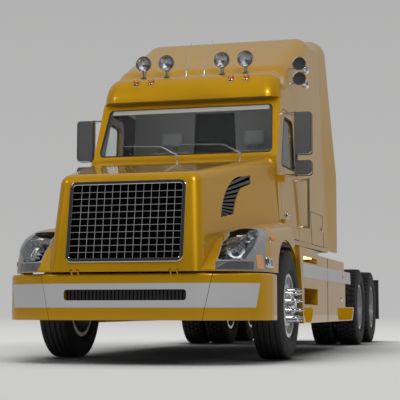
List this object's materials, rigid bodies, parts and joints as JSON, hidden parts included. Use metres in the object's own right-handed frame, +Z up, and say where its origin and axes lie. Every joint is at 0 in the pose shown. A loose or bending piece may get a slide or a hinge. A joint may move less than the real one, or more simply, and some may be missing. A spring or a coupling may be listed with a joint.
{
  "type": "sleeper tractor truck",
  "caption": "Conventional sleeper tractor with tilting hood, swinging doors, steered front wheels, twin-wheel tandem and a rocking fifth wheel.",
  "frame": {"origin": "on the ground below the middle of the truck's bounding box", "axes": "-Y is forward, +X is the truck's left, +Z is up"},
  "size_m": [2.6, 8.7122, 3.835],
  "materials": {
    "gold": "gloss clear-coated golden yellow",
    "frame_black": "semi-gloss black chassis paint",
    "cast": "rough cast, oily",
    "steel": "machined",
    "chrome": "polished",
    "alloy": "polished alloy",
    "tyre": "moulded rubber",
    "rubber": "matt",
    "black_plastic": "grained",
    "grey_plastic": "grained",
    "clear": "clear",
    "lens": "clear moulded",
    "red": "translucent red",
    "cloth": "woven"
  },
  "bodies": {
    "chassis": {"ladder_frame": "frame_black", "front_axle": "cast", "leaf_springs": "frame_black", "rear_axles": "cast", "rear_suspension": "frame_black", "powertrain": "cast", "driveshafts": "steel", "radiator": "frame_black", "bumper": "gold", "fuel_tanks": "alloy", "step_boxes": "black_plastic", "side_fairings": "gold", "mudflaps": "rubber", "tail_lamps": "red", "fifth_wheel_base": "frame_black", "cab_floor": "frame_black", "cowl": "gold", "cab_sides": "gold", "cab_back": "gold", "cab_roof": "gold", "windscreen": "clear", "dash": "black_plastic", "seats": "cloth", "bulkhead": "grey_plastic", "roof_lamps": "chrome", "air_horns": "chrome", "wipers": "black_plastic", "grab_handles": "chrome", "side_extenders": "gold"},
    "hood": {"hood_shell": "gold", "grille": "chrome", "headlamp_bezels": "chrome", "headlamp_lenses": "lens"},
    "door_left": {"door_left": "gold", "door_glass_left": "clear", "mirror_left": "chrome"},
    "door_right": {"door_right": "gold", "door_glass_right": "clear", "mirror_right": "chrome"},
    "knuckle_left": {"knuckle_left": "cast"},
    "knuckle_right": {"knuckle_right": "cast"},
    "tie_rod": {"tie_rod": "frame_black"},
    "wheel_front_left": {"tyre_front_left": "tyre", "rim_front_left": "chrome"},
    "wheel_front_right": {"tyre_front_right": "tyre", "rim_front_right": "chrome"},
    "wheels_rear_1_left": {"tyres_rear_1_left": "tyre", "hub_rear_1_left": "alloy"},
    "wheels_rear_1_right": {"tyres_rear_1_right": "tyre", "hub_rear_1_right": "alloy"},
    "wheels_rear_2_left": {"tyres_rear_2_left": "tyre", "hub_rear_2_left": "alloy"},
    "wheels_rear_2_right": {"tyres_rear_2_right": "tyre", "hub_rear_2_right": "alloy"},
    "fifth_wheel": {"fifth_wheel_plate": "steel"}
  },
  "joints": [
    {"name": "hood_tilt", "type": "hinge", "parent": "chassis", "child": "hood", "pos_m": [0, -4.34294, 0.806], "axis": [1, 0, 0], "range_deg": [0, 70]},
    {"name": "door_left_swing", "type": "hinge", "parent": "chassis", "child": "door_left", "pos_m": [1.032, -2.36794, 1.5], "axis": [0, 0, -1], "range_deg": [0, 70]},
    {"name": "door_right_swing", "type": "hinge", "parent": "chassis", "child": "door_right", "pos_m": [-1.032, -2.36794, 1.5], "axis": [0, 0, 1], "range_deg": [0, 70]},
    {"name": "steer_left", "type": "hinge", "parent": "chassis", "child": "knuckle_left", "pos_m": [0.88, -2.89394, 0.512], "axis": [0, 0, 1], "range_deg": [-38, 38]},
    {"name": "steer_right", "type": "hinge", "parent": "chassis", "child": "knuckle_right", "pos_m": [-0.88, -2.89394, 0.512], "axis": [0, 0, 1], "range_deg": [-38, 38]},
    {"name": "tie_rod_turn", "type": "hinge", "parent": "knuckle_left", "child": "tie_rod", "pos_m": [0.88, -2.66394, 0.381], "axis": [0, 0, 1], "range_deg": [-38, 38]},
    {"name": "wheel_front_left_spin", "type": "hinge", "parent": "knuckle_left", "child": "wheel_front_left", "pos_m": [1.045, -2.89394, 0.512], "axis": [1, 0, 0], "continuous": true},
    {"name": "wheel_front_right_spin", "type": "hinge", "parent": "knuckle_right", "child": "wheel_front_right", "pos_m": [-1.045, -2.89394, 0.512], "axis": [1, 0, 0], "continuous": true},
    {"name": "wheels_rear_1_left_spin", "type": "hinge", "parent": "chassis", "child": "wheels_rear_1_left", "pos_m": [0.901, 2.16606, 0.512], "axis": [1, 0, 0], "continuous": true},
    {"name": "wheels_rear_1_right_spin", "type": "hinge", "parent": "chassis", "child": "wheels_rear_1_right", "pos_m": [-0.901, 2.16606, 0.512], "axis": [1, 0, 0], "continuous": true},
    {"name": "wheels_rear_2_left_spin", "type": "hinge", "parent": "chassis", "child": "wheels_rear_2_left", "pos_m": [0.901, 3.49106, 0.512], "axis": [1, 0, 0], "continuous": true},
    {"name": "wheels_rear_2_right_spin", "type": "hinge", "parent": "chassis", "child": "wheels_rear_2_right", "pos_m": [-0.901, 3.49106, 0.512], "axis": [1, 0, 0], "continuous": true},
    {"name": "fifth_wheel_rock", "type": "hinge", "parent": "chassis", "child": "fifth_wheel", "pos_m": [0, 2.70606, 1.11], "axis": [1, 0, 0], "range_deg": [-10, 10]}
  ],
  "couplings": [
    {"joint": "steer_right", "follows": "steer_left", "ratio": 1},
    {"joint": "tie_rod_turn", "follows": "steer_left", "ratio": -1}
  ]
}
